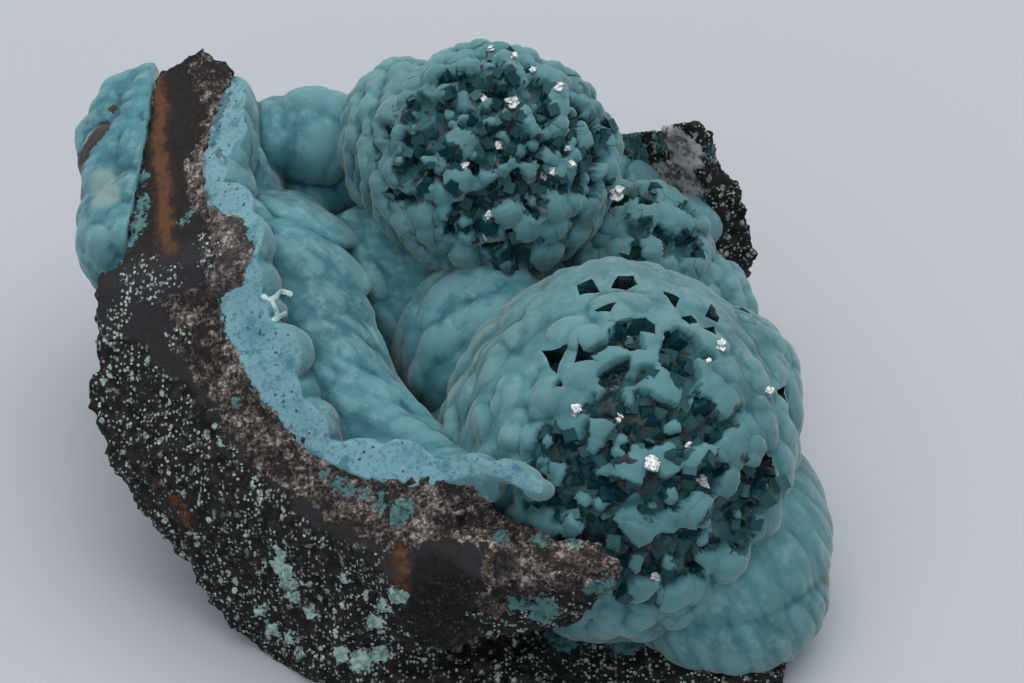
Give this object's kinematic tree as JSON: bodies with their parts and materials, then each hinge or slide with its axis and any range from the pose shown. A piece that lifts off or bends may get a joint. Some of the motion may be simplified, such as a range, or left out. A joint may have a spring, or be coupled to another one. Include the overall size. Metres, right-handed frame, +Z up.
{
  "type": "chrysocolla vug",
  "caption": "Mineral specimen: dark broken rock with an open hollow lined by a turquoise botryoidal crust that swells into domes with quartz crystals in their broken faces.",
  "frame": {"origin": "centre of the specimen's outline, on the plane of its flat sawn base", "axes": "+X along the specimen's length with the broken wall at -X, +Y from the front dome towards the back dome, +Z up from the base"},
  "size_m": [0.0849, 0.0734, 0.0484],
  "materials": {
    "rock": "rough broken stone, near black with brown and grey patches",
    "turquoise": "satin mineral crust, turquoise with paler mottling",
    "quartz": "clear crystals over dark teal, glossy flat faces"
  },
  "bodies": {
    "root": {"matrix_rock": "rock", "chrysocolla_crust": "turquoise", "chrysocolla_outer_crust": "turquoise", "quartz_druse_front": "quartz", "quartz_druse_back": "quartz"}
  },
  "joints": []
}
